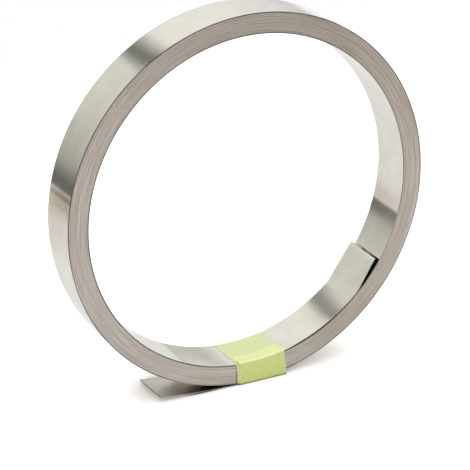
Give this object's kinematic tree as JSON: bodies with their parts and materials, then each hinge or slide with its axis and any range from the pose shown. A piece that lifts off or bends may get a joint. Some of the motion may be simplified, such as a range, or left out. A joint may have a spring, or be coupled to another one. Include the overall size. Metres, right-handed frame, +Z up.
{
  "type": "nickel strip coil",
  "caption": "Thin bare nickel strip wound into an open coil that stands on its rim, both ends sprung loose, held by a band of paper tape; stock for battery tabs.",
  "frame": {"origin": "on the floor, under the middle of the coil", "axes": "+Y along the coil's axis, away from the lapped face of the tape; +X to the right seen from that face, so the loose outer end points to -X; +Z up"},
  "size_m": [0.08, 0.0105, 0.0801],
  "materials": {
    "rolled_nickel": "bright cold-rolled, satin",
    "paper_tape": "matte pale yellow-green"
  },
  "bodies": {
    "root": {"nickel_strip": "rolled_nickel", "tape_band": "paper_tape"}
  },
  "joints": []
}
